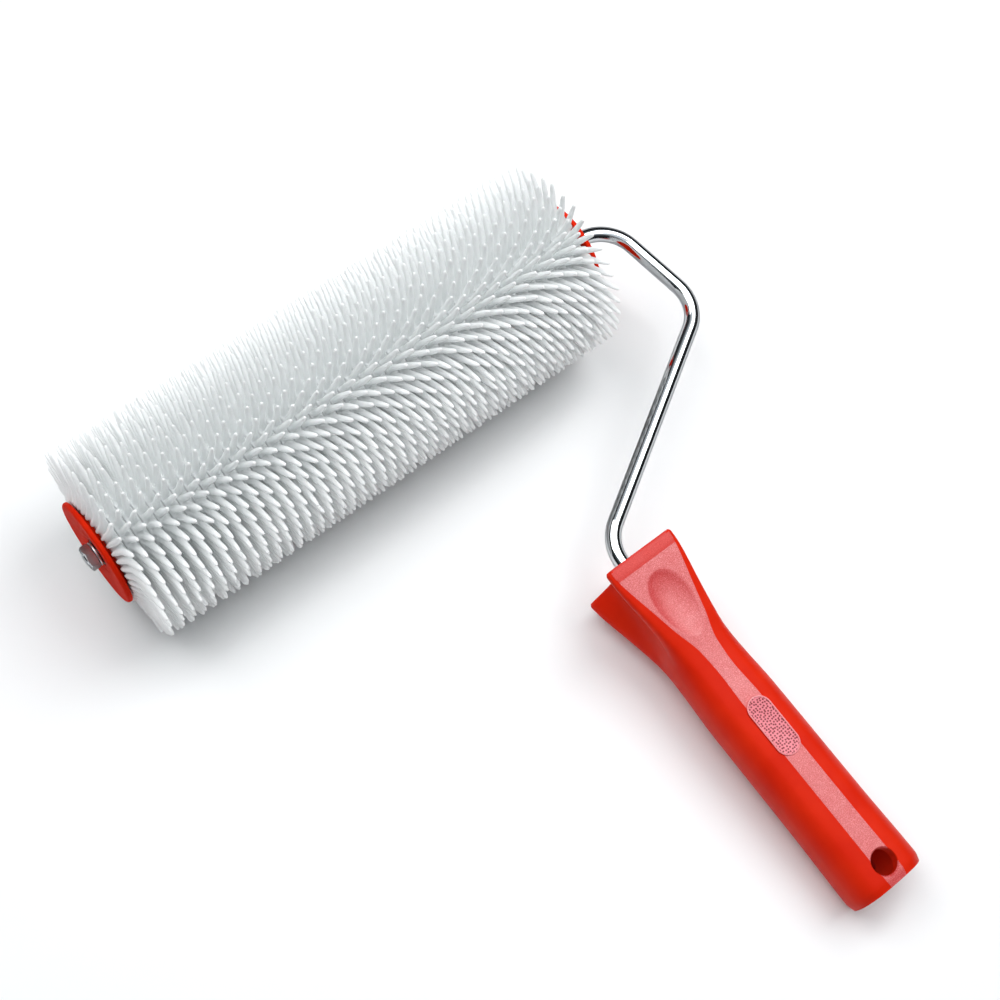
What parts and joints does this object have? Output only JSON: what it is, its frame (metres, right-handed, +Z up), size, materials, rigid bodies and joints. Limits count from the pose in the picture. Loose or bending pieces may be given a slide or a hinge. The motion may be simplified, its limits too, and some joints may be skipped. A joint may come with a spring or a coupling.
{
  "type": "pattern roller",
  "caption": "Hand roller with a spiked plastic cylinder that turns on a bent round wire frame, and a flared hollow handle with a hang hole.",
  "frame": {"origin": "centre of the bounding box in plan, at the ground, with the tool lying at rest on its spikes and the butt of its handle", "axes": "+X along the roller's axis from the nut towards the bent side of the frame, +Y from the handle towards the roller, +Z up"},
  "size_m": [0.2884, 0.3436, 0.0899],
  "materials": {
    "spike_plastic": "smooth, slightly translucent white moulding",
    "tube_plastic": "smooth extrusion, hidden by the rings",
    "red_plastic": "satin moulding with finely grained flats",
    "bush_nylon": "smooth",
    "chrome_rod": "bright plated",
    "zinc_steel": "zinc plated"
  },
  "bodies": {
    "frame": {"wire_frame": "chrome_rod", "outer_washer": "zinc_steel", "axle_nut": "zinc_steel", "inner_washer": "zinc_steel", "stop_collar": "zinc_steel", "handle": "red_plastic"},
    "roller": {"spike_ring_01": "spike_plastic", "spike_ring_02": "spike_plastic", "spike_ring_03": "spike_plastic", "spike_ring_04": "spike_plastic", "spike_ring_05": "spike_plastic", "spike_ring_06": "spike_plastic", "spike_ring_07": "spike_plastic", "spike_ring_08": "spike_plastic", "spike_ring_09": "spike_plastic", "spike_ring_10": "spike_plastic", "spike_ring_11": "spike_plastic", "spike_ring_12": "spike_plastic", "spike_ring_13": "spike_plastic", "spike_ring_14": "spike_plastic", "spike_ring_15": "spike_plastic", "spike_ring_16": "spike_plastic", "spike_ring_17": "spike_plastic", "spike_ring_18": "spike_plastic", "spike_ring_19": "spike_plastic", "spike_ring_20": "spike_plastic", "spike_ring_21": "spike_plastic", "spike_ring_22": "spike_plastic", "spike_ring_23": "spike_plastic", "spike_ring_24": "spike_plastic", "spike_ring_25": "spike_plastic", "spike_ring_26": "spike_plastic", "spike_ring_27": "spike_plastic", "spike_ring_28": "spike_plastic", "spike_ring_29": "spike_plastic", "spike_ring_30": "spike_plastic", "spike_ring_31": "spike_plastic", "spike_ring_32": "spike_plastic", "spike_ring_33": "spike_plastic", "spike_ring_34": "spike_plastic", "spike_ring_35": "spike_plastic", "spike_ring_36": "spike_plastic", "spike_ring_37": "spike_plastic", "spike_ring_38": "spike_plastic", "spike_ring_39": "spike_plastic", "spike_ring_40": "spike_plastic", "spike_ring_41": "spike_plastic", "spike_ring_42": "spike_plastic", "spike_ring_43": "spike_plastic", "spike_ring_44": "spike_plastic", "spike_ring_45": "spike_plastic", "core_tube": "tube_plastic", "left_end_cap": "red_plastic", "left_bush": "bush_nylon", "right_end_cap": "red_plastic", "right_bush": "bush_nylon"}
  },
  "joints": [
    {"name": "roller_spin", "type": "hinge", "parent": "frame", "child": "roller", "pos_m": [-0.01458, 0.12687, 0.04496], "axis": [1, 0, 0], "continuous": true}
  ]
}
